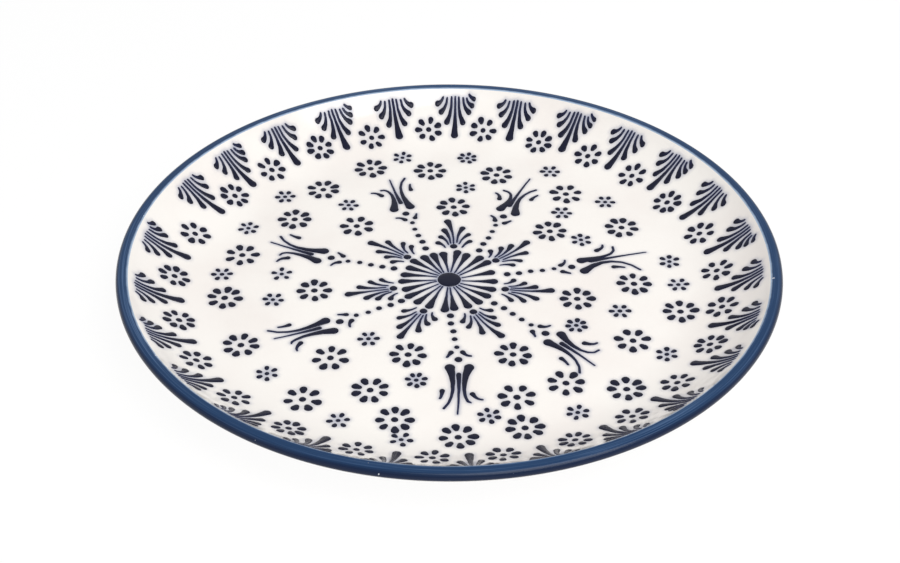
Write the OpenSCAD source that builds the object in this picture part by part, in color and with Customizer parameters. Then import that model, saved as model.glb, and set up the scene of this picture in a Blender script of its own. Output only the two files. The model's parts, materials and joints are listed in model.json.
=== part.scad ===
// Hand painted ceramic plate: a shallow thrown dish on a foot ring, white glazed,
// with a blue band on the lip and a pattern of raised slip strokes inside.
// The origin is the middle of the table under the foot ring, +Z is up.

/* [Plate] */
// Diameter over the lip
rim_d = 250; // [200:1:320]
// Depth of the flat well below the lip
well_depth = 16; // [12:0.5:22]
// Radial width of the curved wall, from the lip's outer edge to the flat well
wall_w = 39; // [32:1:48]
// Radial width of the lip
lip_w = 4.3; // [3.4:0.1:5.4]
// Radius of the lip's outer rounding
lip_r = 1.9; // [1.4:0.1:2.4]
// Radius of the lip's inner rounding
lip_inner_r = 1.2; // [0.8:0.1:1.6]

/* [Foot] */
// Mean diameter of the foot ring
foot_d = 150; // [120:1:185]
// Width of the foot ring
foot_w = 7; // [5:0.5:9]
// Height of the foot ring below the base
foot_h = 4; // [3:0.5:6]
// Bevel on the foot ring's edges
foot_bevel = 0.8; // [0.4:0.1:1.2]
// Height of the bare clay at the foot, below the glaze line
bare_h = 1.6; // [1:0.1:2.4]

/* [Glaze] */
// Thickness of every glaze coat
glaze_t = 0.4; // [0.3:0.05:0.6]
// Height of the raised strokes above the glaze
relief_h = 0.6; // [0.4:0.05:1]

/* [Pattern] */
// Usual radius of the centre rosette on a 250 mm plate
rosette_r = 19.7; // [16:0.1:20]
// Radius of the dot in the middle of the rosette
rosette_dot_r = 4.5; // [3:0.1:5]
// Beads in each chain between the rosette and a tulip
chain_n = 5; // [3:1:6]
// Radius of a large field daisy
daisy_r = 7; // [5:0.1:7.2]
// Radius of a small field daisy
small_daisy_r = 4.2; // [3.2:0.1:4.6]
// Radius of a rim daisy
rim_daisy_r = 6; // [4.5:0.1:6.2]

/* [Hidden] */
$fn = 96;

// Seven repeats round the plate: every motif's angle, as the painter set it out
sectors = 7;

// Rosette petals, each [angle, reach past the usual, turn of the tail]
petals = [
    [16, -1.2, -2], [37, 0.6, -2], [50, 0.6, -1], [67, -0.7, -2], [80, 0.2, 3], [98, -1.1, -4],
    [111, -0.8, 4], [124, -0.5, 1], [139, 0.4, -4], [154, -0.9, -7], [170, -0.5, -10],
    [184, 0.1, 0], [201, -0.3, -8], [215, 0.8, 0], [230, 0.6, 1], [246, 0.4, -6], [265, 1.1, -2],
    [276, 0.1, -3], [293, 0.1, -3], [308, 0.1, -7], [324, -0.3, -10], [339, -0.5, -9],
    [356, -0.8, -5]
];

// Sprays, each [angle, how far its root stands to the side]
sprays = [[39, 1.7], [91, 2.1], [142, 1.5], [194, -0.4], [243, -0.4], [299, 1.9], [350, 2.3]];

// Bead chains, each [first bead's angle, last bead's angle]
chains = [[9, 10], [59, 63], [114, 111.5], [162, 163], [217, 213], [271, 274], [319, 317]];

// Tulips, each [angle, lean of the waist, then the tips of the left petal, middle stroke,
// right petal, left leaf and right leaf]
tulips = [
    [10, -3.9, [-10.9, 67.6], [-4.7, 80], [6.7, 74.6], [-12.7, 64], [3.9, 69]],
    [63, -2, [-8.7, 66], [-2.2, 79.5], [3.9, 72.8], [-10.7, 62.8], [6.1, 69.3]],
    [111.5, 0.6, [-4.2, 68.3], [2.4, 75], [9, 74], [-8.5, 67.8], [9.3, 68.8]],
    [163, -0.4, [-4.6, 68.5], [3, 75.5], [8, 73.2], [-8.8, 68], [10.2, 70]],
    [213, 0.6, [-2, 69.7], [4.3, 74], [10, 73.8], [-6.9, 70], [9.6, 69.7]],
    [274, 0.3, [-2.9, 72.3], [2.5, 78.4], [7.3, 75], [-7.2, 71], [8.2, 69.7]],
    [317, 0.3, [-6.3, 69], [2.1, 73.7], [9.2, 72.4], [-9, 66], [8.4, 66.5]]
];

// Large daisies per sector, each [radius, angle, petals]
daisies = [
    [[71, 358, 8], [89, 347, 8], [50, 346, 8], [78, 27, 8]],
    [[52, 39, 8], [77, 51, 7], [77, 75, 8]],
    [[50, 88, 8], [78, 96, 8], [86, 113, 8], [82, 130, 8]],
    [[52, 136, 7], [75, 147, 8], [83, 169, 7]],
    [[86, 188, 8], [52, 188, 8], [86, 208, 8], [64, 228, 7], [87, 234, 7]],
    [[71, 247, 8], [48, 252, 8], [83, 257, 8], [90, 272, 8], [89, 287, 8], [73, 289, 7]],
    [[51, 297, 8], [74, 304, 7], [90, 314, 8], [77, 331, 7]]
];

// Small daisies per sector, each [radius, angle, petals]
small_daisies = [
    [[88, 358, 6], [67, 343, 6], [87, 8, 6], [59, 27, 6]],
    [[84, 40, 6], [65, 45, 6], [88, 61, 6]],
    [[65, 84, 6], [88, 85, 7], [90, 103, 6], [66, 129, 6]],
    [[89, 140, 6], [88, 157, 6], [65, 177, 5], [88, 178, 6]],
    [[68, 191, 6], [86, 221, 6], [47, 231, 6]],
    [[90, 245, 6], [61, 259, 7], [93, 260, 5], [80, 280, 6]],
    [[89, 300, 6], [55, 329, 7], [91, 330, 6]]
];

// Rim daisies, each [radius, angle, petals] and, where the palmette after it isn't midway to the
// next daisy, how far it is turned
rim_daisies = [
    [103, 1, 7], [103, 15, 7], [102, 29, 8], [103, 42, 7], [103, 55, 7], [103, 68, 8],
    [105, 82, 7], [105, 95, 7], [104, 109, 7], [105, 122, 8], [104, 136, 7], [103, 149, 8, -2.4],
    [104, 166, 7], [105, 182, 8], [104, 197, 8], [105, 211, 7], [105, 225, 7], [105, 239, 8],
    [105, 253, 7], [104, 267, 7], [104, 280, 7], [104, 294, 8], [104, 307, 7], [103, 321, 7],
    [104, 335, 8], [104, 348, 7]
];
rim_n = len(rim_daisies);

// The pattern is drawn for a 250 mm plate and grows with the rim
pattern_d = 250;
pat = rim_d / pattern_d;
// Half width of a stroke's tail
thin_tail = 0.42;
fine_tail = 0.3;
// Share of a round end's width at which a stroke's sides run into it
in_head = 0.96;

// Cross-section, as [radius, height] above the well's glazed surface
rim_r = rim_d / 2;
well_r = rim_r - wall_w;
wall_run = wall_w - lip_w;
inner_arc_r = (wall_run * wall_run + well_depth * well_depth) / (2 * well_depth);
arc_drop = [0, inner_arc_r];
lip_offset = [wall_w - lip_r, well_depth - lip_r];
wall_t = norm(lip_offset - arc_drop) + lip_r - inner_arc_r;
outer_arc_r = inner_arc_r + wall_t;

// The same points above the table
well_z = foot_h + wall_t;
top_z = well_z + well_depth;
arc_c = [well_r, well_z] + arc_drop;
lip_c = [well_r, well_z] + lip_offset;
inner_lip_z = top_z - lip_inner_r;
inner_lip_c = [
    arc_c.x + sqrt(pow(inner_arc_r + lip_inner_r, 2) - pow(arc_c.y - inner_lip_z, 2)),
    inner_lip_z
];
foot_ring_r = foot_d / 2;
beyond = 40;

sector_ids = [for (i = [1:sectors]) str(i)];

// ---- cross-section of the plate ----

function towards(from, to) = (to - from) / norm(to - from);

// The wall's side of the line from its centre through both lip roundings
module wall_side() {
    past_lip = lip_c + beyond * towards(arc_c, lip_c);
    polygon([arc_c, [well_r, -beyond], [past_lip.x + beyond, -beyond], past_lip, lip_c, inner_lip_c]);
}

// Part of the wall between two radii about the wall's centre
module wall_arc(inner_r, outer_r) {
    intersection() {
        difference() {
            translate(arc_c) circle(r = outer_r);
            translate(arc_c) circle(r = inner_r);
        }
        wall_side();
    }
}

// A slice of a disc, between two directions less than a half turn apart
module disc_slice(centre, r, from, to) {
    intersection() {
        translate(centre) circle(r = r);
        polygon([
            centre,
            centre + beyond * from,
            centre + beyond * (from + to),
            centre + beyond * to
        ]);
    }
}

// The lip past the wall's end, shrunk by a coat's thickness
module lip_end(shrink) {
    up = [0, 1];
    disc_slice(inner_lip_c, lip_inner_r - shrink, up, towards(inner_lip_c, arc_c));
    disc_slice(lip_c, lip_r - shrink, towards(arc_c, lip_c), up);
    polygon([
        inner_lip_c,
        lip_c,
        [lip_c.x, top_z - shrink],
        [inner_lip_c.x, top_z - shrink]
    ]);
}

module foot_outline() {
    half = foot_w / 2;
    edge = half - foot_bevel;
    top = foot_h + wall_t / 2;
    translate([foot_ring_r, 0])
        polygon([
            [-edge, 0], [edge, 0], [half, foot_bevel],
            [half, top], [-half, top], [-half, foot_bevel]
        ]);
}

module body_outline() {
    translate([0, foot_h + glaze_t]) square([well_r, wall_t - 2 * glaze_t]);
    wall_arc(inner_arc_r + glaze_t, outer_arc_r - glaze_t);
    lip_end(glaze_t);
    foot_outline();
}

// Coat under the base and wall, and down both sides of the foot to the bare clay
module under_coat_outline() {
    half = foot_w / 2 + glaze_t;
    difference() {
        union() {
            translate([0, foot_h]) square([well_r, glaze_t]);
            wall_arc(outer_arc_r - glaze_t, outer_arc_r);
            translate([foot_ring_r - half, bare_h]) square([2 * half, foot_h + wall_t / 2 - bare_h]);
        }
        body_outline();
    }
}

module plate_body() {
    color("wheat") rotate_extrude() body_outline();
}

module white_glaze_face() {
    color("ivory") rotate_extrude() {
        translate([0, well_z - glaze_t]) square([well_r, glaze_t]);
        wall_arc(inner_arc_r, inner_arc_r + glaze_t);
    }
}

module white_glaze_back() {
    color("ivory") rotate_extrude() intersection() {
        under_coat_outline();
        translate([foot_ring_r, 0]) square([rim_r, top_z]);
    }
}

module white_glaze_base() {
    color("ivory") rotate_extrude() intersection() {
        under_coat_outline();
        square([foot_ring_r, top_z]);
    }
}

module blue_rim_band() {
    color("royalblue") rotate_extrude() difference() {
        lip_end(0);
        lip_end(glaze_t);
    }
}

// ---- strokes, drawn in plan: x runs clockwise round the plate, y outwards ----

function bezier(path, t) =
    len(path) == 1 ? path[0]
    : bezier([for (i = [0:len(path) - 2]) (1 - t) * path[i] + t * path[i + 1]], t);

function heading(path, t) =
    towards(bezier(path, max(t - 0.02, 0)), bezier(path, min(t + 0.02, 1)));

function across(along) = [-along.y, along.x];

// Half width at a share of the length; the larger late is, the nearer the head it swells
function swell(tail, head, late, t) = tail + (head - tail) * pow(t, late);

// One pull of the slip trailer, from a thin blunt tail to a round head
module stroke(path, head, tail = thin_tail, late = 2, steps = 3) {
    shares = [for (i = [0:steps]) i / steps];
    half = [for (t = shares) in_head * swell(tail, head, late, t)];
    left = [for (i = [0:steps]) bezier(path, shares[i]) + half[i] * across(heading(path, shares[i]))];
    right = [for (i = [0:steps]) bezier(path, shares[i]) - half[i] * across(heading(path, shares[i]))];
    left_back = [for (i = [steps:-1:0]) left[i]];
    polygon(pat * concat(right, left_back));
    dot(path[len(path) - 1], head);
}

// A short dab along Y, round at both ends
module dab(start, end, start_r, end_r) {
    polygon(pat * in_head * [
        [-start_r, start / in_head], [start_r, start / in_head],
        [end_r, end / in_head], [-end_r, end / in_head]
    ]);
    dot([0, start], start_r);
    dot([0, end], end_r);
}

module dot(at, r) {
    translate(pat * at) circle(r = pat * r);
}

// A direction in plan, turned anticlockwise from +Y
function aside(angle) = [-sin(angle), cos(angle)];

// Puts a motif drawn along +Y at its angle round the plate
module turned(angle) {
    rotate(angle - 90) children();
}

// The hand's small unevenness, between -1 and 1
function hand(i) = sin(137.5 * i);

// Raises a drawing that stays on the flat well
module on_well() {
    translate([0, 0, well_z]) linear_extrude(height = relief_h) children();
}

// Raises a drawing that runs onto the curved wall
module on_wall() {
    intersection() {
        rotate_extrude() {
            translate([0, well_z]) square([well_r, relief_h]);
            wall_arc(inner_arc_r - relief_h, inner_arc_r);
        }
        translate([0, 0, well_z - 1]) linear_extrude(height = well_depth + 2) children();
    }
}

module raised(reach) {
    if (pat * reach < well_r) on_well() children();
    else on_wall() children();
}

// Round petals about a dot, none quite like the next
module daisy(place, reach, seed) {
    petals = place[2];
    rotate(place[1] - 90) translate([0, pat * place[0]]) {
        dot([0, 0], 0.17 * reach);
        for (i = [0:petals - 1])
            rotate(360 * (i + 0.3 * hand(seed)) / petals + 3 * hand(seed + 7 * i))
                dab(
                    (0.6 + 0.02 * hand(seed + 3 * i)) * reach,
                    (0.79 + 0.02 * hand(seed + i)) * reach,
                    0.125 * reach,
                    (0.19 + 0.015 * hand(seed + 5 * i)) * reach
                );
    }
}

module rosette_dot() {
    color("midnightblue") on_well() dot([0, 0], rosette_dot_r);
}

module rosette_petals() {
    head = 0.31 * 2 * PI * rosette_r / len(petals);
    color("midnightblue") on_well()
        for (petal = petals) {
            reach = rosette_r + petal[1] - head;
            rotate(petal[0] - 90)
                stroke([
                    (rosette_dot_r + 0.25) * aside(petal[2]),
                    0.5 * reach * aside(0.6 * petal[2]),
                    reach * aside(0)
                ], head, fine_tail, 3, 4);
        }
}

// A knob with a long stroke and three shorter ones fanned on each side
module spray(k) {
    root = sprays[k][1];
    color("midnightblue") on_well() turned(sprays[k][0])
        translate(pat * [root, rosette_r + 2.4]) {
            dot([0, 0], 1.5);
            stroke([[0, 1.7], [0.3, 10], [-root, 17.4]], 1.5, fine_tail, 3, 4);
            stroke([[-1.1, 1.8], [-1.4, 7.5], [-3.8 + 0.4 * hand(k), 11.2]], 1.3, fine_tail);
            stroke([[-1.9, 0.9], [-2.7, 5], [-5, 6.6 + 0.5 * hand(k + 3)]], 1.2, fine_tail);
            stroke([[-3.2, -1.1], [-3.9, 1.5], [-6.1, 2.4]], 1.2, fine_tail);
            stroke([[1.3, 2.4], [1.6, 8.5], [3.5 + 0.4 * hand(k), 12.5]], 1.25, fine_tail);
            stroke([[2.1, 1.3], [3.1, 5.5], [6.1, 7.6 + 0.5 * hand(k + 5)]], 1.1, fine_tail);
            stroke([[3.2, -1], [4.2, 1.8], [6.5, 3.3]], 1.1, fine_tail);
        }
}

// Beads that get smaller on their way from the rosette out to the tulip
module bead_chain(k) {
    first_at = rosette_r + 3;
    last_at = 41.4;
    color("midnightblue") on_well()
        for (i = [0:chain_n - 1]) {
            share = i / (chain_n - 1);
            turned(chains[k][0] + (chains[k][1] - chains[k][0]) * share)
                dot([0.2 * hand(i + k), first_at + (last_at - first_at) * share], 1.4 - 0.4 * share);
        }
}

// Two curved outer petals round a thin middle stroke, with a knob and four leaves
module tulip(k) {
    waist = tulips[k][1];
    left = tulips[k][2];
    middle = tulips[k][3];
    right = tulips[k][4];
    left_leaf = tulips[k][5];
    right_leaf = tulips[k][6];
    lean = 2.1 + 1.3 * waist;
    middle_root = [0.7 * waist + 0.3, 56.7];
    color("midnightblue") on_well() turned(tulips[k][0]) {
        dot([0, 48.5], 1.5);
        stroke([[-5.1, 46.9], [-2.7, 46.7], [-1.8, 44.4]], 1.05);
        stroke([[4.2, 47.3], [3.4, 45.8], [2.4, 44.3]], 1.05);
        stroke([left, [waist - 0.1, left.y + 1], [waist - 0.5, 60], [-3.5, 53.1]], 1.85, 0.5, 3, 6);
        stroke([right, [lean, right.y - 5], [lean, 60], [3.4, 52.7]], 1.9, 0.5, 3, 6);
        stroke([middle, (middle + middle_root) / 2 - [0.4, 0], middle_root], 0.95, fine_tail, 2, 4);
        stroke([left_leaf, left_leaf + [2.4, 0.2], left_leaf + [3.7, -3.3]], 1.05);
        stroke([right_leaf, right_leaf + [-1.1, -2], right_leaf + [-1.2, -4.4]], 1);
    }
}

module daisy_group(group, reach, k) {
    color("midnightblue")
        for (i = [0:len(group) - 1])
            raised(group[i][0] + reach) daisy(group[i], reach, 11 * k + 3 * i);
}

// Seven shares of the ring of rim motifs
function share_start(k) = floor(k * rim_n / sectors);

module rim_daisies_share(k) {
    color("midnightblue") on_wall()
        for (i = [share_start(k):share_start(k + 1) - 1])
            daisy(rim_daisies[i], rim_daisy_r, i);
}

// A fan of strokes hung from the rim, longest in the middle
module palmette(i) {
    stroke([[0, 118.3], [0.2 * hand(i), 110], [0, 102.4 + 0.5 * hand(i + 4)]], 1.6);
    for (side = [-1, 1])
        stroke([[1.6 * side, 118.1], [1.4 * side, 112], [3.5 * side, 108.3 + 0.3 * hand(i + side)]], 1.25);
    half_palmette(i % 2 == 0 ? 4 : 3, 1);
    half_palmette(3, -1);
}

// The shorter strokes on one side, some hands adding a last small one under the rim
module half_palmette(count, side) {
    stroke([[3.5 * side, 117.8], [3.5 * side, 114.2], [6.1 * side, 112.3]], 1.15);
    if (count == 3)
        stroke([[5.2 * side, 118], [5.6 * side, 116], [7.8 * side, 115.3]], 1.05);
    else {
        stroke([[5 * side, 117.7], [5.4 * side, 115.4], [7.5 * side, 114.7]], 1);
        stroke([[5.9 * side, 118.8], [6.7 * side, 117.6], [8.3 * side, 117]], 0.85);
    }
}

// The angle midway between one rim daisy and the next
function between(i) =
    let (next = i + 1 < rim_n ? rim_daisies[i + 1][1] : rim_daisies[0][1] + 360)
    let (turn = len(rim_daisies[i]) > 3 ? rim_daisies[i][3] : 0)
    (rim_daisies[i][1] + next) / 2 + 0.3 + turn;

module rim_palmettes_share(k) {
    color("midnightblue") on_wall()
        for (i = [share_start(k):share_start(k + 1) - 1])
            turned(between(i)) palmette(i);
}

plate_body();
white_glaze_face();
white_glaze_back();
white_glaze_base();
blue_rim_band();
rosette_dot();
rosette_petals();
for (k = [0:sectors - 1]) {
    spray(k);
    bead_chain(k);
    tulip(k);
    daisy_group(daisies[k], daisy_r, k);
    daisy_group(small_daisies[k], small_daisy_r, k + 20);
    rim_daisies_share(k);
    rim_palmettes_share(k);
}
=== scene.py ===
import json
import math

import bmesh
import bpy
import numpy as np
from mathutils import Matrix, Vector, kdtree, noise


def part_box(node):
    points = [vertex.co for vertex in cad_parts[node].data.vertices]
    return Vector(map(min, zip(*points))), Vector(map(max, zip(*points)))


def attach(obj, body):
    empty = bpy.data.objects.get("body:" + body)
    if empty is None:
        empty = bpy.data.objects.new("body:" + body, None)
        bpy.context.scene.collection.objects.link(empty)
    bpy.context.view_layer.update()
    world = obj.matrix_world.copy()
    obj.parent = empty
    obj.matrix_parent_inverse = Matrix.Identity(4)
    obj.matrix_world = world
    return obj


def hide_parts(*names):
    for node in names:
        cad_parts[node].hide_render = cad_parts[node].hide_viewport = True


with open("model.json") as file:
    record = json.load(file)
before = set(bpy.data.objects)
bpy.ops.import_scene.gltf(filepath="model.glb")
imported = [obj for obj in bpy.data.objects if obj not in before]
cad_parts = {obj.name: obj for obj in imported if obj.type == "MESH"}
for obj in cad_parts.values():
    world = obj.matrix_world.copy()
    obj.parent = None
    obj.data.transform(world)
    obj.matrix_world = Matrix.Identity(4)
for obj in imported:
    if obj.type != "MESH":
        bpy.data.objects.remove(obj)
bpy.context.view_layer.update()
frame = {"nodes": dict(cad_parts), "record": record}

nodes = frame["nodes"]
slotOf = {part["node"]: part["material_slot"] for part in frame["record"]["subparts"]}
slipNodes = sorted(name for name, slot in slotOf.items() if slot == "slip")
mergeDistance = 1e-6
fineMerge = 1e-7


# The glazed surface, measured on the frame

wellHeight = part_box("rosette_dot")[0].z
faceReach = [(math.hypot(v.co.x, v.co.y), v.co.z) for v in nodes["white_glaze_face"].data.vertices]
wellRadius = max(r for r, z in faceReach if abs(z - wellHeight) < mergeDistance)
edgeRadius, edgeHeight = max(faceReach, key=lambda point: point[1])
wallRun = edgeRadius - wellRadius
wallRise = edgeHeight - wellHeight
wallArc = (wallRun ** 2 + wallRise ** 2) / (2 * wallRise)
arcHeight = wellHeight + wallArc
print("measured: well", wellRadius, "wall arc", wallArc, "edge", edgeRadius, edgeHeight)


def glazePoint(x, y, lift):
    # a point above the glaze, along the surface's own normal
    r = math.hypot(x, y)
    if r <= wellRadius:
        return Vector((x, y, wellHeight + lift))
    out = r - wellRadius
    drop = math.sqrt(max(wallArc ** 2 - out ** 2, 0))
    share = lift / wallArc
    newR = r - out * share
    return Vector((x * newR / r, y * newR / r, arcHeight - drop * (1 - share)))


# A socket with arithmetic, so that an expression adds its own nodes
class Wire:
    def __init__(self, tree, socket):
        self.tree = tree
        self.socket = socket

    def plug(self, target, value):
        if isinstance(value, Wire):
            self.tree.links.new(value.socket, target)
        elif hasattr(target.default_value, "__len__") and not hasattr(value, "__len__"):
            target.default_value = [value] * len(target.default_value)
        else:
            target.default_value = value

    def node(self, kind, settings, inputs, out=0):
        made = self.tree.nodes.new("ShaderNode" + kind)
        for name, value in settings.items():
            if name == "stops":
                ramp = made.color_ramp.elements
                while len(ramp) < len(value):
                    ramp.new(0.5)
                for element, (place, colour) in zip(ramp, value):
                    element.position = place
                    element.color = colour
            else:
                setattr(made, name, value)
        for name, value in inputs.items():
            self.plug(made.inputs[name], value)
        return Wire(self.tree, made.outputs[out])

    def maths(self, operation, a, b=0.0):
        return self.node("Math", {"operation": operation}, {0: a, 1: b})

    def __add__(self, other):
        return self.maths("ADD", self, other)

    def __radd__(self, other):
        return self.maths("ADD", other, self)

    def __sub__(self, other):
        return self.maths("SUBTRACT", self, other)

    def __rsub__(self, other):
        return self.maths("SUBTRACT", other, self)

    def __mul__(self, other):
        return self.maths("MULTIPLY", self, other)

    def __rmul__(self, other):
        return self.maths("MULTIPLY", other, self)

    def between(self, low, high):
        return self.node("MapRange", {"interpolation_type": "SMOOTHSTEP"},
                         {"Value": self, "From Min": low, "From Max": high})

    def blend(self, first, second):
        return self.node("Mix", {"data_type": "RGBA"}, {0: self, 6: first, 7: second}, 2)

    def noiseAt(self, place, scale, detail=2, roughness=0.5):
        return self.node("TexNoise", {}, {"Vector": place, "Scale": scale, "Detail": detail,
                                          "Roughness": roughness})


def colour(red, green, blue):
    # display values from 0 to 255, as linear light
    def linear(value):
        value /= 255
        return value / 12.92 if value <= 0.04045 else ((value + 0.055) / 1.055) ** 2.4
    return (linear(red), linear(green), linear(blue), 1)


def newMaterial(name, constants):
    material = bpy.data.materials.new(name)
    material.use_nodes = True
    tree = material.node_tree
    shader = tree.nodes["Principled BSDF"]
    for socket, value in constants.items():
        shader.inputs[socket].default_value = value
    return material, shader, Wire(tree, None)


def objectPlace(wire):
    return wire.node("TexCoord", {}, {}, "Object")


def attribute(wire, name):
    return wire.node("Attribute", {"attribute_name": name}, {}, "Fac")


glazeLook = {
    "white": colour(246, 242, 237),
    "cloud": colour(241, 235, 230),
    "bleed": colour(162, 166, 184),
    "cloudScale": 28,
    "cloudRange": (0.35, 0.75),
    "roughness": 0.08,
    "roughnessVaries": 0.06,
    "roughnessScale": 300,
    "ripple": 0.00012,
    "rippleScale": 55,
    "rippleStrength": 0.35,
    "pitScale": 420,
    "pitShare": 0.12,
}


def makeWhiteGlaze():
    material, shader, wire = newMaterial("whiteGlaze", {"IOR": 1.5})
    place = objectPlace(wire)
    clouds = wire.noiseAt(place, glazeLook["cloudScale"], 3)
    shade = clouds.between(*glazeLook["cloudRange"]).blend(glazeLook["white"], glazeLook["cloud"])
    bleed = attribute(wire, "bleed")
    wire.plug(shader.inputs["Base Color"], bleed.blend(shade, glazeLook["bleed"]))
    matte = wire.noiseAt(place, glazeLook["roughnessScale"]) * glazeLook["roughnessVaries"]
    wire.plug(shader.inputs["Roughness"], matte + glazeLook["roughness"])
    pits = wire.noiseAt(place, glazeLook["pitScale"]) * glazeLook["pitShare"]
    waves = wire.noiseAt(place, glazeLook["rippleScale"]) + pits
    bump = wire.node("Bump", {}, {"Strength": glazeLook["rippleStrength"], "Distance": glazeLook["ripple"],
                                  "Height": waves})
    wire.plug(shader.inputs["Normal"], bump)
    return material


bandLook = {
    "blue": colour(20, 54, 92),
    # painted reflection: pale blue for streaks that stand for reflection lines along the glossy band
    "paleSheen": colour(72, 100, 138),
    # painted shade: darker blue put on the band's outer, downward side
    "shadedBlue": colour(4, 20, 50),
    "fringe": colour(176, 196, 220),
    "speck": colour(214, 218, 226),
    "alongStretch": 9,
    "streakScale": 1.6,
    "fineScale": 4.5,
    "fineShare": 0.35,
    "streakRange": (0.46, 0.68),
    "outerShadeRange": (0.3, 0.72),
    "fringeRange": (0.03, 0.14),
    "fringeWander": 0.06,
    "speckRange": (0.74, 0.77),
    "roughness": 0.16,
    "bump": 0.00012,
    "topShare": 0.6,
}


def makeBlueBand():
    material, shader, wire = newMaterial("blueBand", {"IOR": 1.5, "Specular IOR Level": 0.22})
    place = objectPlace(wire)
    along = attribute(wire, "along")
    compass = {"X": attribute(wire, "compassX"), "Y": attribute(wire, "compassY")}
    streakPlace = wire.node("CombineXYZ", {}, compass | {"Z": along * bandLook["alongStretch"]})
    # painted reflection: streaks stretched round the band mix pale blue in, standing for lengthwise
    # reflection lines; the same streaks also raise part of the bump
    streaks = wire.noiseAt(streakPlace, bandLook["streakScale"], 4, 0.65)
    fine = wire.noiseAt(streakPlace, bandLook["fineScale"], 3, 0.6)
    fineShare = bandLook["fineShare"]
    mixed = (streaks * (1 - fineShare) + fine * fineShare).between(*bandLook["streakRange"])
    shade = mixed.blend(bandLook["blue"], bandLook["paleSheen"])
    # painted shade: the band darkens towards its outer, downward side, where less light falls
    outer = along.between(*bandLook["outerShadeRange"])
    shade = (outer * 0.9).blend(shade, bandLook["shadedBlue"])
    fringeEdge = along + wire.noiseAt(place, 260) * bandLook["fringeWander"]
    fringe = 1 - fringeEdge.between(*bandLook["fringeRange"])
    shade = (fringe * 0.9).blend(shade, bandLook["fringe"])
    specks = wire.noiseAt(place, 330, 2, 0.6).between(*bandLook["speckRange"])
    shade = (specks * 0.8).blend(shade, bandLook["speck"])
    wire.plug(shader.inputs["Base Color"], shade)
    wire.plug(shader.inputs["Roughness"], wire.noiseAt(place, 500) * 0.1 + bandLook["roughness"])
    height = streaks * 0.6 + wire.noiseAt(place, 380) * 0.4
    bump = wire.node("Bump", {}, {"Strength": 0.3, "Distance": bandLook["bump"], "Height": height})
    wire.plug(shader.inputs["Normal"], bump)
    return material


slipLook = {
    "thick": colour(20, 23, 44),
    "thin": colour(32, 39, 72),
    "speckleScale": 900,
    "thinRange": (0.15, 0.75),
    "roughness": 0.14,
    "bump": 0.00005,
}


def makeSlip():
    material, shader, wire = newMaterial("raisedSlip", {"IOR": 1.5, "Specular IOR Level": 0.18})
    place = objectPlace(wire)
    depth = attribute(wire, "depth")
    speckle = wire.noiseAt(place, slipLook["speckleScale"]) * 0.3 - 0.15
    shade = (depth + speckle).between(*slipLook["thinRange"]).blend(slipLook["thin"], slipLook["thick"])
    wire.plug(shader.inputs["Base Color"], shade)
    wire.plug(shader.inputs["Roughness"], wire.noiseAt(place, 700) * 0.1 + slipLook["roughness"])
    bump = wire.node("Bump", {}, {"Strength": 0.25, "Distance": slipLook["bump"],
                                  "Height": wire.noiseAt(place, 800)})
    wire.plug(shader.inputs["Normal"], bump)
    return material


clayLook = {
    "sand": colour(206, 186, 160),
    "grog": colour(150, 122, 96),
    "grainScale": 1400,
    "grogRange": (0.58, 0.72),
    "roughness": 0.82,
    "bump": 0.0002,
}


def makeClay():
    material, shader, wire = newMaterial("bareClay", {"IOR": 1.45})
    place = objectPlace(wire)
    grains = wire.noiseAt(place, clayLook["grainScale"], 3, 0.7)
    shade = grains.between(*clayLook["grogRange"]).blend(clayLook["sand"], clayLook["grog"])
    wire.plug(shader.inputs["Base Color"], shade)
    wire.plug(shader.inputs["Roughness"], grains * 0.15 + clayLook["roughness"])
    bump = wire.node("Bump", {}, {"Strength": 0.5, "Distance": clayLook["bump"], "Height": grains})
    wire.plug(shader.inputs["Normal"], bump)
    return material


materials = {
    "white_glaze": makeWhiteGlaze(),
    "blue_glaze": makeBlueBand(),
    "slip": makeSlip(),
    "bare_clay": makeClay(),
}
print("materials made")


# How finely each turned piece is spun and its section stepped
turning = {
    "plate_body": {"steps": 360, "fine": 0.003, "coarse": 0.003},
    "white_glaze_face": {"steps": 600, "fine": 0.001, "coarse": 0.009},
    "white_glaze_back": {"steps": 480, "fine": 0.002, "coarse": 0.002},
    "white_glaze_base": {"steps": 240, "fine": 0.003, "coarse": 0.003},
    "blue_rim_band": {"steps": 720, "fine": 0.0003, "coarse": 0.0006},
}
sharpCorner = math.radians(40)


def halfSection(name):
    # the solid's outline where it crosses +X, as points of radius and height in order
    bm = bmesh.new()
    bm.from_mesh(nodes[name].data)
    bmesh.ops.remove_doubles(bm, verts=bm.verts, dist=fineMerge)
    for normal, onlyCut in (((0, 1, 0), True), ((1, 0, 0), False)):
        bmesh.ops.bisect_plane(bm, geom=bm.verts[:] + bm.edges[:] + bm.faces[:], dist=1e-8,
                               plane_co=(0, 0, 0), plane_no=normal, clear_inner=True,
                               clear_outer=onlyCut)
    bmesh.ops.remove_doubles(bm, verts=bm.verts, dist=mergeDistance)
    ends = [v for v in bm.verts if len(v.link_edges) == 1]
    closed = not ends
    here = ends[0] if ends else bm.verts[:][0]
    chain, seen = [], set()
    while here is not None:
        chain.append(Vector((here.co.x, here.co.z)))
        seen.add(here)
        around = [e.other_vert(here) for e in here.link_edges]
        here = next((v for v in around if v not in seen), None)
    bm.free()
    area = sum(a.x * b.y - b.x * a.y for a, b in zip(chain, chain[1:] + chain[:1]))
    if area < 0:
        chain.reverse()
    return chain, closed


def turnAt(before, here, after):
    a, b = here - before, after - here
    return abs(a.angle(b)) if a.length > 1e-9 and b.length > 1e-9 else 0


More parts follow.
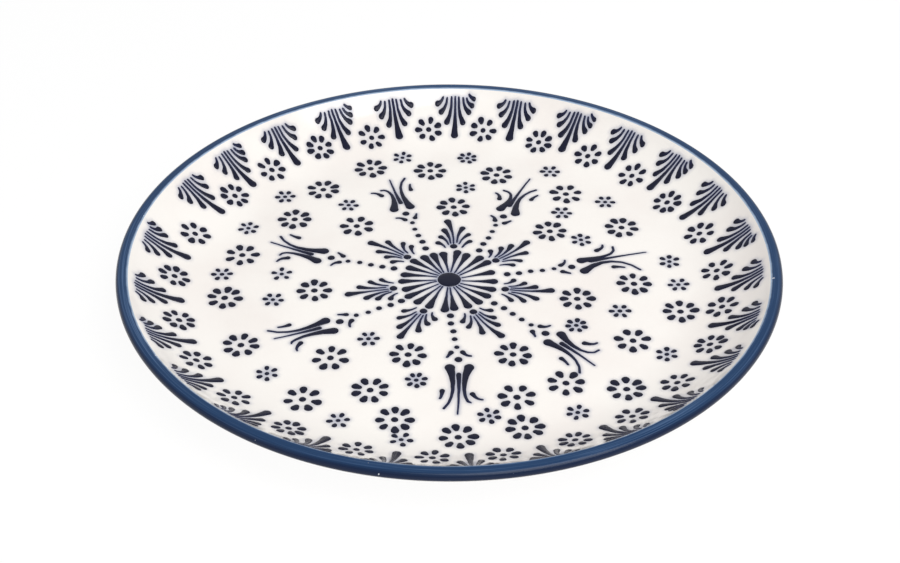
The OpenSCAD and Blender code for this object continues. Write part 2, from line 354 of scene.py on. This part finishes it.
def smoothedSection(chain, closed, fine, coarse):
    # curves through the section's points, straight between sharp corners, with short steps
    count = len(chain)
    sharp = []
    for i, here in enumerate(chain):
        atEnd = not closed and i in (0, count - 1)
        sharp.append(atEnd or turnAt(chain[i - 1], here, chain[(i + 1) % count]) > sharpCorner)
    points = []
    for i in range(count if closed else count - 1):
        j = (i + 1) % count
        a, b = chain[i], chain[j]
        before = a - (b - a) if sharp[i] else chain[i - 1]
        after = b + (b - a) if sharp[j] else chain[(j + 1) % count]
        span = b - a
        facesUp = span.x < -abs(span.y) * 0.2
        pieces = max(1, math.ceil(span.length / (fine if facesUp else coarse)))
        tangentA = (b - before) / ((b - a).length + (a - before).length) * span.length
        tangentB = (after - a) / ((after - b).length + (b - a).length) * span.length
        for k in range(pieces):
            t = k / pieces
            points.append((2 * t ** 3 - 3 * t ** 2 + 1) * a + (t ** 3 - 2 * t ** 2 + t) * tangentA
                          + (3 * t ** 2 - 2 * t ** 3) * b + (t ** 3 - t ** 2) * tangentB)
    if not closed:
        points.append(chain[-1])
    widest, low, high = max(p.x for p in chain), min(p.y for p in chain), max(p.y for p in chain)
    for point in points:
        point.x, point.y = min(point.x, widest), min(max(point.y, low), high)
    return points


def finishPiece(bm, pieceName, node):
    mesh = bpy.data.meshes.new(pieceName)
    bm.to_mesh(mesh)
    bm.free()
    piece = bpy.data.objects.new(pieceName, mesh)
    bpy.context.scene.collection.objects.link(piece)
    mesh.materials.append(materials[slotOf[node]])
    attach(piece, "root")
    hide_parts(node)
    return piece


def revolve(node, pieceName):
    chain, closed = halfSection(node)
    look = turning[node]
    points = smoothedSection(chain, closed, look["fine"], look["coarse"])
    bm = bmesh.new()
    verts = [bm.verts.new((p.x, 0, p.y)) for p in points]
    pairs = list(zip(verts, verts[1:])) + ([(verts[-1], verts[0])] if closed else [])
    edges = [bm.edges.new(pair) for pair in pairs]
    bmesh.ops.spin(bm, geom=verts + edges, cent=(0, 0, 0), axis=(0, 0, 1), angle=math.tau,
                   steps=look["steps"], use_merge=True)
    bmesh.ops.remove_doubles(bm, verts=bm.verts, dist=fineMerge)
    bmesh.ops.recalc_face_normals(bm, faces=bm.faces)
    for face in bm.faces:
        face.smooth = True
    for edge in bm.edges:
        edge.smooth = edge.calc_face_angle(0) < sharpCorner
    piece = finishPiece(bm, pieceName, node)
    print("turned", pieceName, len(piece.data.vertices), "points")
    return piece


revolve("plate_body", "thrown_body")
facePiece = revolve("white_glaze_face", "glaze_face")
revolve("white_glaze_back", "glaze_back")
revolve("white_glaze_base", "glaze_base")
bandPiece = revolve("blue_rim_band", "lip_band")


# The slip strokes: points along their outlines, and rings up to their tops as (inset, rise)
beads = {
    "spacing": 0.0005,
    "fewest": 14,
    "most": 130,
    "smoothing": 0.2,
    "grow": {
        "large_daisies": 0.00014,
        "small_daisies": 0.00022,
        "rim_daisies": 0.00018,
        "rim_palmettes": 0.00007,
    },
    "usualGrow": 0.00005,
    "growVaries": 0.00009,
    "growScale": 700,
    "wander": 0.0001,
    "wanderScale": 420,
    "wanderApart": 17.3,
    "height": 0.00042,
    "fullWidth": 0.0013,
    "thinnest": 0.1,
    "rounding": 0.7,
    "sink": 0.00012,
    "rings": [(0.0, 0.1), (0.14, 0.6), (0.4, 0.9), (0.8, 1.0)],
}


def strokeOutlines(name):
    # where each stroke of a node stands on the glaze, anticlockwise seen from above
    bm = bmesh.new()
    bm.from_mesh(nodes[name].data)
    bmesh.ops.remove_doubles(bm, verts=bm.verts, dist=mergeDistance)
    upper = [f for f in bm.faces if f.normal.z > -0.3]
    bmesh.ops.delete(bm, geom=upper, context="FACES")
    bmesh.ops.dissolve_faces(bm, faces=bm.faces)
    outlines = [[v.co.xy.copy() for v in reversed(face.verts)] for face in bm.faces]
    bm.free()
    # each outline starts at a fixed corner, whatever order the faces come in
    for k, outline in enumerate(outlines):
        first = min(range(len(outline)), key=lambda i: tuple(outline[i]))
        outlines[k] = outline[first:] + outline[:first]
    return sorted(outlines, key=lambda outline: tuple(outline[0]))


def inwardAt(ring):
    along = np.roll(ring, -1, 0) - np.roll(ring, 1, 0)
    inward = np.stack([-along[:, 1], along[:, 0]], axis=1)
    return inward / np.linalg.norm(inward, axis=1, keepdims=True)


def growthOf(name, middle):
    usual = next((g for kind, g in beads["grow"].items() if name.startswith(kind)), beads["usualGrow"])
    place = Vector((middle[0], middle[1], 0.05)) * beads["growScale"]
    return usual + beads["growVaries"] * noise.noise(place)


def evenPoints(outline, name):
    ring = np.array([tuple(p) for p in outline])
    steps = np.linalg.norm(np.roll(ring, -1, 0) - ring, axis=1)
    lengths = np.concatenate([[0], np.cumsum(steps)])
    count = int(min(beads["most"], max(beads["fewest"], round(lengths[-1] / beads["spacing"]))))
    wanted = np.linspace(0, lengths[-1], count, endpoint=False)
    looped = np.vstack([ring, ring[:1]])
    even = np.stack([np.interp(wanted, lengths, looped[:, k]) for k in (0, 1)], axis=1)
    beside = np.roll(even, 1, 0) + np.roll(even, -1, 0)
    even = (1 - 2 * beads["smoothing"]) * even + beads["smoothing"] * beside
    even -= growthOf(name, even.mean(0)) * inwardAt(even)
    for point in even:
        here = Vector((point[0], point[1], 0)) * beads["wanderScale"]
        stray = (noise.noise(here), noise.noise(here + Vector((0, 0, beads["wanderApart"]))))
        point += beads["wander"] * np.array(stray)
    return even


def inwardAndWidth(ring):
    # each point's inward direction and the radius of the largest circle inside that touches it
    inward = inwardAt(ring)
    gap = ring[None, :, :] - ring[:, None, :]
    square = (gap ** 2).sum(2)
    ahead = (gap * inward[:, None, :]).sum(2)
    radius = np.where(ahead > 1e-7, square / np.maximum(2 * ahead, 1e-9), 1.0).min(1)
    for _ in range(2):
        radius = 0.5 * radius + 0.25 * (np.roll(radius, 1) + np.roll(radius, -1))
    return inward, radius


def beadRings(outline, name):
    ring = evenPoints(outline, name)
    inward, width = inwardAndWidth(ring)
    share = np.clip(width / beads["fullWidth"], beads["thinnest"], 1)
    top = beads["height"] * share ** beads["rounding"]
    rings = [[glazePoint(x, y, -beads["sink"]) for x, y in ring]]
    for inset, rise in beads["rings"]:
        moved = ring + inward * (width * inset)[:, None]
        rings.append([glazePoint(x, y, rise * h) for (x, y), h in zip(moved, top)])
    return rings, share, ring


edgePoints = []


def makeBeads(name):
    bm = bmesh.new()
    depth = bm.verts.layers.float.new("depth")
    feet, rows = [], []
    for outline in strokeOutlines(name):
        rings, share, ring = beadRings(outline, name)
        edgePoints.extend((x, y) for x, y in ring)
        feet.append(bm.faces.new([bm.verts.new(p) for p in rings[0]]))
        rows.append((rings, share))
    order = {vert: (s, k) for s, foot in enumerate(feet) for k, vert in enumerate(foot.verts)}
    for vert, (s, k) in order.items():
        vert[depth] = rows[s][1][k]
    raisedUp = bmesh.ops.extrude_face_region(bm, geom=feet, use_keep_orig=True)["geom"]
    tops = [item for item in raisedUp if isinstance(item, bmesh.types.BMFace)]
    for level in range(1, len(beads["rings"]) + 1):
        if level > 1:
            bmesh.ops.inset_individual(bm, faces=tops, thickness=1e-6)
        inner = {}
        for top in tops:
            for vert in top.verts:
                outer = next(o for o in (e.other_vert(vert) for e in vert.link_edges) if o in order)
                s, k = inner[vert] = order[outer]
                vert.co = rows[s][0][level][k]
                vert[depth] = rows[s][1][k]
        order = inner
    bmesh.ops.recalc_face_normals(bm, faces=bm.faces)
    for face in bm.faces:
        face.smooth = True
    finishPiece(bm, name + "_beads", name)
    return len(tops)


strokeCount = sum(makeBeads(name) for name in slipNodes)
print("raised", strokeCount, "strokes in", len(slipNodes), "pieces")


# Cobalt that has bled into the white round the strokes
bleeding = {"reach": 0.0021, "soft": 0.00086, "full": 6.0}


def paintBleed(piece):
    tree = kdtree.KDTree(len(edgePoints))
    for k, (x, y) in enumerate(edgePoints):
        tree.insert((x, y, 0), k)
    tree.balance()
    layer = piece.data.attributes.new("bleed", "FLOAT", "POINT")
    values = []
    for vert in piece.data.vertices:
        near = tree.find_range((vert.co.x, vert.co.y, 0), bleeding["reach"])
        total = sum(math.exp(-(found[2] / bleeding["soft"]) ** 2) for found in near)
        values.append(min(1.0, total / bleeding["full"]))
    layer.data.foreach_set("value", values)


def paintBandDirections(piece):
    mesh = piece.data
    low, high = min(v.co.z for v in mesh.vertices), max(v.co.z for v in mesh.vertices)
    inner = min(v.co.xy.length for v in mesh.vertices)
    outer = max(v.co.xy.length for v in mesh.vertices)
    names = ("along", "compassX", "compassY")
    layers = {name: mesh.attributes.new(name, "FLOAT", "POINT") for name in names}
    # along runs from the inner edge over the top and down the outer side; the band material paints shade
    # where it is high
    topShare = bandLook["topShare"]
    for vert in mesh.vertices:
        r = vert.co.xy.length
        across = (r - inner) / (outer - inner)
        down = (high - vert.co.z) / (high - low)
        outside = down if across > 0.5 else 0
        layers["along"].data[vert.index].value = topShare * across + (1 - topShare) * outside
        layers["compassX"].data[vert.index].value = vert.co.x / r
        layers["compassY"].data[vert.index].value = vert.co.y / r


paintBleed(facePiece)
paintBandDirections(bandPiece)
print("coats painted")


studio = {
    "floorSize": 6.0,
    "floor": (0.15, 0.15, 0.15, 1),
    "floorGlow": 0.85,
    "world": 0.64,
    "key": {"place": (0.55, -0.75, 1.25), "size": 1.2, "power": 16.0},
}


def makeFloor():
    bm = bmesh.new()
    bmesh.ops.create_grid(bm, x_segments=1, y_segments=1, size=studio["floorSize"] / 2)
    mesh = bpy.data.meshes.new("floor")
    bm.to_mesh(mesh)
    bm.free()
    floor = bpy.data.objects.new("floor", mesh)
    bpy.context.scene.collection.objects.link(floor)
    paper = {"Base Color": studio["floor"], "Roughness": 0.9, "Specular IOR Level": 0.0,
             "Emission Color": (1, 1, 1, 1), "Emission Strength": studio["floorGlow"]}
    material = newMaterial("floorPaper", paper)[0]
    mesh.materials.append(material)


def makeLights():
    world = bpy.data.worlds.new("studio")
    world.use_nodes = True
    world.node_tree.nodes["Background"].inputs["Color"].default_value = (1, 1, 1, 1)
    world.node_tree.nodes["Background"].inputs["Strength"].default_value = studio["world"]
    bpy.context.scene.world = world
    key = studio["key"]
    data = bpy.data.lights.new("key", "AREA")
    data.energy = key["power"]
    data.size = key["size"]
    lamp = bpy.data.objects.new("key", data)
    lamp.location = key["place"]
    lamp.rotation_euler = (-Vector(key["place"])).to_track_quat("-Z", "Y").to_euler()
    bpy.context.scene.collection.objects.link(lamp)


view = {
    "distance": 0.6,
    "elevation": 36.58,
    "roll": 0.12,
    "lens": 62.27,
    "sensor": 36.0,
    "shift": (0.0008, -0.0021),
}


def makeCamera():
    data = bpy.data.cameras.new("camera")
    data.lens = view["lens"]
    data.sensor_width = view["sensor"]
    data.sensor_fit = "HORIZONTAL"
    data.shift_x, data.shift_y = view["shift"]
    data.clip_start = 0.01
    camera = bpy.data.objects.new("camera", data)
    bpy.context.scene.collection.objects.link(camera)
    tilt = math.radians(90 - view["elevation"])
    turn = Matrix.Rotation(tilt, 4, "X") @ Matrix.Rotation(math.radians(view["roll"]), 4, "Z")
    away = math.radians(view["elevation"])
    aim = Vector((0, 0, wellHeight))
    place = aim + view["distance"] * Vector((0, -math.cos(away), math.sin(away)))
    camera.matrix_world = Matrix.Translation(place) @ turn
    bpy.context.scene.camera = camera


makeFloor()
makeLights()
makeCamera()
bpy.context.scene.view_settings.view_transform = "Standard"
print("studio ready")
